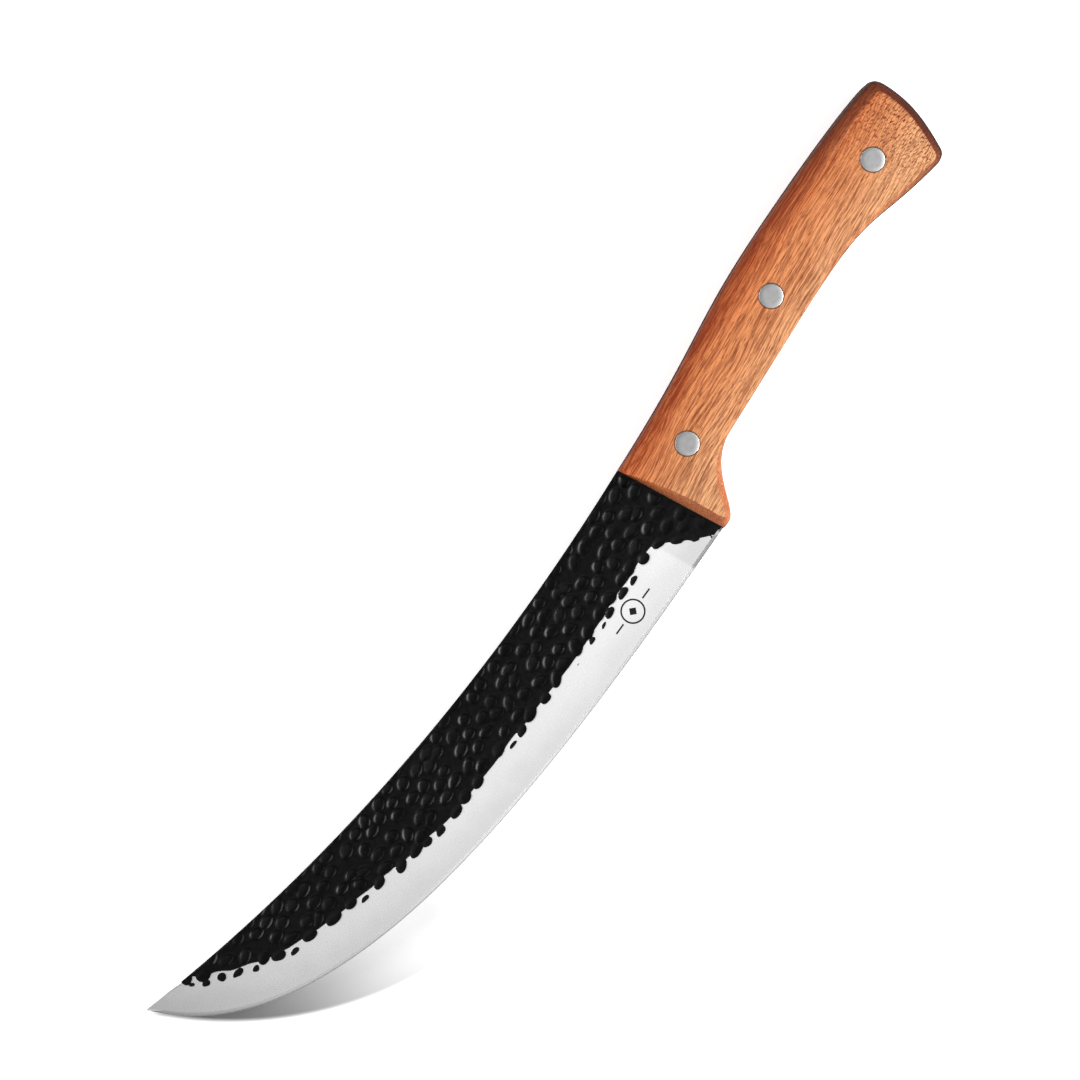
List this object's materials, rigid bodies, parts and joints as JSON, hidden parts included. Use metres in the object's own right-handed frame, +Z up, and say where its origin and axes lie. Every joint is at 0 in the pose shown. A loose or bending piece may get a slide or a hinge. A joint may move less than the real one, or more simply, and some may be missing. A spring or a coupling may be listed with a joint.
{
  "type": "butcher's knife",
  "caption": "Upswept butcher's knife with a hammered dark blade, ground cutting bevel, full tang and riveted wooden scales.",
  "frame": {"origin": "middle of the footprint, on the surface that the knife lies on", "axes": "+X towards the butt of the handle with the tip at -X, +Y towards the spine with the cutting edge at -Y, +Z up out of the left scale"},
  "size_m": [0.3676, 0.0738, 0.02],
  "materials": {
    "blade_steel": "carbon steel with black hammered forge scale on the flats, satin ground bevel and spine",
    "scale_wood": "oiled reddish-brown hardwood, fine dark pores along the handle",
    "bedding_epoxy": "dark epoxy film, hidden between wood and tang",
    "rivet_metal": "satin, ground flush with the wood"
  },
  "bodies": {
    "root": {"blade": "blade_steel", "left_scale": "scale_wood", "right_scale": "scale_wood", "left_bedding": "bedding_epoxy", "right_bedding": "bedding_epoxy", "front_rivet_sleeve": "rivet_metal", "front_rivet_post": "rivet_metal", "middle_rivet_sleeve": "rivet_metal", "middle_rivet_post": "rivet_metal", "rear_rivet_sleeve": "rivet_metal", "rear_rivet_post": "rivet_metal"}
  },
  "joints": []
}
